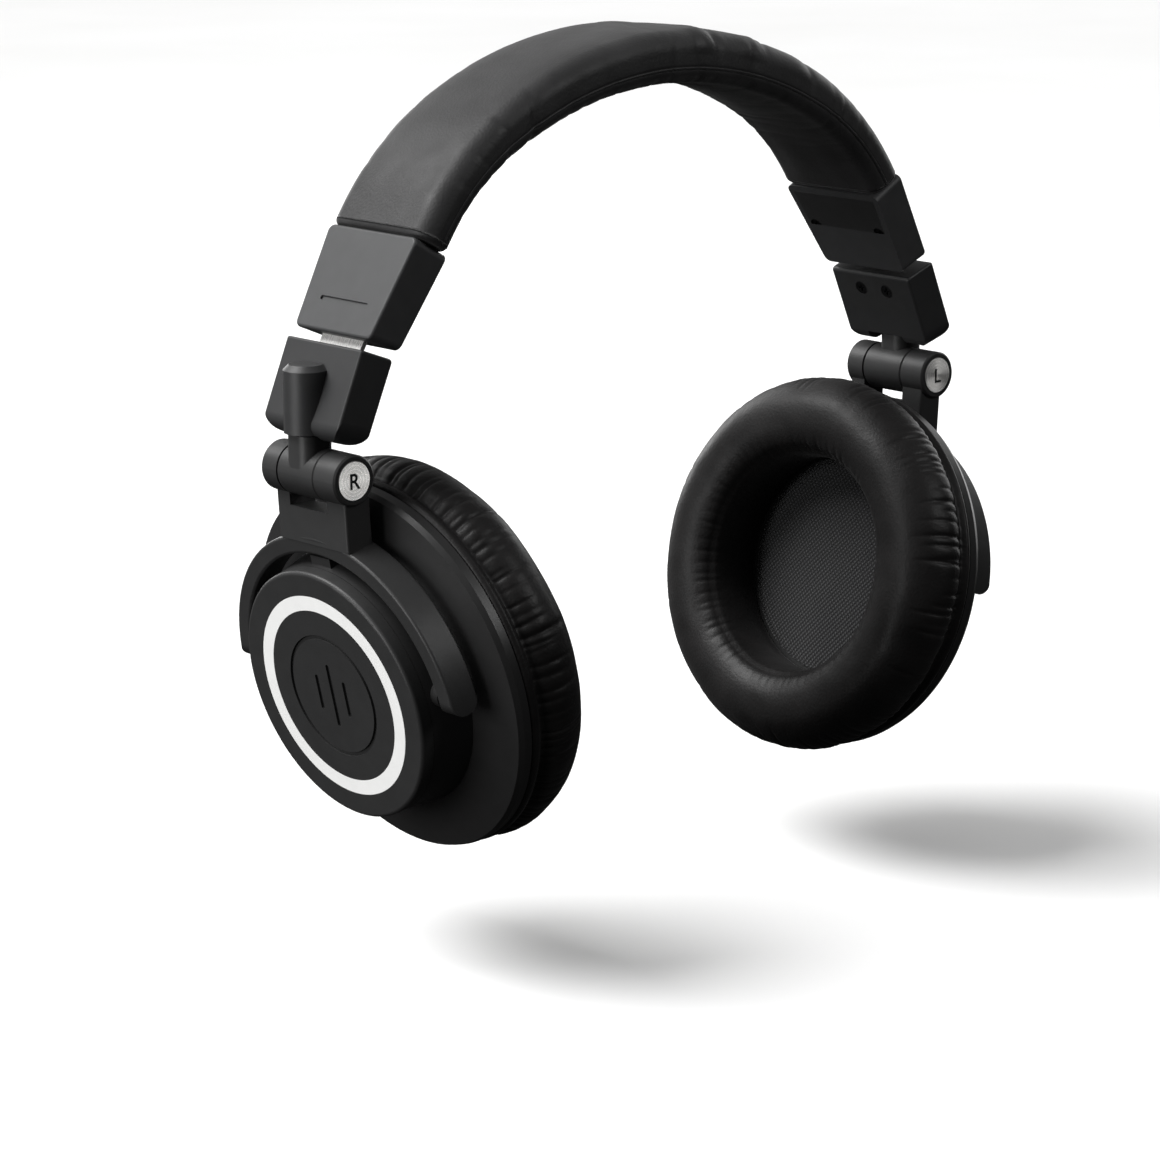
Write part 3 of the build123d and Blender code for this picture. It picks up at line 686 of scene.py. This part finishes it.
def closed_curve(points, steps):
    """A smooth closed curve through the points, as evenly spaced points."""
    points = np.array(points, dtype=float)
    fine = []
    for i in range(len(points)):
        a, b, c, d = (points[(i + k) % len(points)] for k in (-1, 0, 1, 2))
        for t in np.linspace(0, 1, 24, endpoint=False):
            square, cube = 2 * a - 5 * b + 4 * c - d, 3 * b - a - 3 * c + d
            fine.append(0.5 * (2 * b + (c - a) * t + square * t**2 + cube * t**3))
    fine = np.array(fine + fine[:1])
    length = np.concatenate([[0], np.cumsum(np.linalg.norm(np.diff(fine, axis=0), axis=1))])
    want = np.linspace(0, length[-1], steps, endpoint=False)
    return np.stack([np.interp(want, length, fine[:, k]) for k in (0, 1)], axis=-1)


def ear_cushion(side, sign, seed):
    rng = np.random.default_rng(seed)
    flip = np.array([sign, 1, 1])
    profile = closed_curve(PROFILE, PAD_STEPS)
    radius, depth = profile[:, 0], profile[:, 1]
    turn = np.arange(PAD_TURNS) / PAD_TURNS * 2 * math.pi
    spoke = np.cos(turn)[:, None] * np.array([0, 1, 0]) + np.sin(turn)[:, None] * CUP_UP
    points = CUP + depth[None, :, None] * MM * CUP_IN + radius[None, :, None] * MM * spoke[:, None, :]
    middle = CUP + 31 * MM * CUP_IN + 38 * MM * spoke[:, None, :]
    points, middle = points * flip, middle * flip
    faces = grid_faces(PAD_TURNS, PAD_STEPS, True)

    def held(co):
        return ((co * flip - CUP) @ CUP_IN) < 0.0245

    free = np.clip((depth - 23.4) / 3, 0, 1)[None, :, None]
    points = points + swell(points, faces, True, held, 0.0009, pressure=16) * free
    normals = outward(grid_normals(points, True), points, middle)
    outer = (radius > 37).astype(float)
    lift = np.zeros((PAD_TURNS, PAD_STEPS))
    # Gathers: creases run from the lip up the side, some further than others
    where = np.cumsum(rng.uniform(0.55, 1.45, 104))
    where = where / where[-1] * 2 * math.pi
    for centre in where:
        strong, tall = rng.uniform(0.25, 1.0), rng.uniform(31, 39.5)
        slant, width = rng.uniform(-0.05, 0.05), rng.uniform(0.38, 0.75)
        gap = (turn - centre + math.pi) % (2 * math.pi) - math.pi
        near = np.abs(gap) < 0.12
        reach = gap[near][:, None] * 46 - slant * (depth[None, :] - 23)
        rise = np.clip((depth - 23.0) / 1.6, 0, 1) * np.clip((tall - depth) / 7, 0, 1) ** 0.8 * outer
        lift[near] -= 0.62 * strong * np.exp(-np.abs(reach / width) ** 1.4) * rise[None, :]
    # Shorter puckers round the stitched mouth
    for centre in np.arange(72) / 72 * 2 * math.pi + rng.uniform(-0.02, 0.02, 72):
        gap = (turn - centre + math.pi) % (2 * math.pi) - math.pi
        near = np.abs(gap) < 0.12
        rise = np.exp(-(((radius - 30.4) / 1.8) ** 2)) * (depth > 34)
        lift[near] -= rng.uniform(0.05, 0.2) * np.exp(-((gap[near] * 30 / 0.6) ** 2))[:, None] * rise[None, :]
    # Seams: the mouth's stitched line and the line under the gathers
    mouth = np.hypot(radius - 29.5, depth - 37.3)
    lift -= 0.45 * np.exp(-((mouth / 0.55) ** 2))[None, :]
    foot = np.hypot(radius - 46.2, depth - 23.3)
    lift -= 0.35 * np.exp(-((foot / 0.6) ** 2))[None, :]
    uneven = 0.22 * bumps(points, 0.014, seed) + 0.08 * bumps(points, 0.005, seed + 5)
    lift += uneven * np.clip((depth - 22) / 3, 0, 1)[None, :]
    points = points + normals * (lift * MM)[..., None]
    piece = mesh_piece(side + "_ear_cushion", points, faces, pad_leather)
    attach(piece, side + "_cup")
    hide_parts(side + "_ear_pad")


def driver_screen(side, sign, seed):
    """The knitted screen: a stretched, slightly domed disc, its edge tucked under the cushion."""
    flip = np.array([sign, 1, 1])
    radii = np.concatenate([np.linspace(0.4, 25, 30), [26, 26.9, 27.5, 27.7]])
    turn = np.arange(144) / 144 * 2 * math.pi
    spoke = np.cos(turn)[:, None] * np.array([0, 1, 0]) + np.sin(turn)[:, None] * CUP_UP
    height = 20.75 + 1.1 * (1 - (radii / 27.7) ** 2) - 0.4 * np.exp(-(((radii - 26.9) / 0.7) ** 2))
    top = CUP + height[:, None, None] * MM * CUP_IN + radii[:, None, None] * MM * spoke[None, :, :]
    top = top * flip
    top = top + (0.12 * bumps(top, 0.009, seed) * MM)[..., None] * CUP_IN * flip
    under = top - 0.3 * MM * CUP_IN * flip
    points = np.concatenate([top, under[::-1]])
    faces = grid_faces(len(points), 144, False)
    last = (len(points) - 1) * 144
    faces += [list(range(last, last + 144)), list(range(144))[::-1]]
    piece = mesh_piece(side + "_driver_screen", points, faces, cloth)
    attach(piece, side + "_cup")
    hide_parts(side + "_driver_cloth")


def side_letter(side, letter):
    """The R or L printed on the disc at the end of the hinge."""
    low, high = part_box(side + "_hinge_badge")
    curve = bpy.data.curves.new(side + "_letter", "FONT")
    curve.body = letter
    curve.align_x = "CENTER"
    curve.size = 0.0052
    curve.offset = 0.00008
    curve.extrude = 0.00003
    curve.resolution_u = 6
    text = bpy.data.objects.new("text", curve)
    scene.collection.objects.link(text)
    mesh = bpy.data.meshes.new_from_object(text.evaluated_get(bpy.context.evaluated_depsgraph_get()))
    bpy.data.objects.remove(text)
    centre = (low + high) / 2
    place = Matrix.Translation((centre.x, low.y, centre.z - 0.0019)) @ Matrix.Rotation(math.pi / 2, 4, "X")
    mesh.transform(place)
    mesh.materials.clear()
    mesh.materials.append(ink)
    piece = bpy.data.objects.new(side + "_letter", mesh)
    scene.collection.objects.link(piece)
    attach(piece, side + "_yoke")


for side, sign, seed, letter in (("left", 1, 21, "L"), ("right", -1, 34, "R")):
    ear_cushion(side, sign, seed)
    driver_screen(side, sign, seed)
    side_letter(side, letter)

# ------------------------------------------------------------------ floor
# The sliders run out by 27 mm, and the floor lies low enough for the cups to stay above it there
FLOOR_DROP = 0.0275
floor_mesh = bpy.data.meshes.new("floor")
floor_mesh.from_pydata([(-6, -6, 0), (6, -6, 0), (6, 6, 0), (-6, 6, 0)], [], [(0, 1, 2, 3)])
floor = bpy.data.objects.new("floor", floor_mesh)
floor.location.z = cad_box[0][2] - FLOOR_DROP
scene.collection.objects.link(floor)
floor_mat, tree, shader, coords = new_material("floor", (0.8, 0.8, 0.8), 0.7)
floor_tones = ramp(tree, noise_tex(tree, coords, 3), [(0.3, (0.78, 0.78, 0.775)), (0.7, (0.82, 0.82, 0.82))])
tree.links.new(floor_tones, shader.inputs["Base Color"])
floor_mesh.materials.append(floor_mat)
floor.visible_diffuse = False
floor.visible_glossy = False
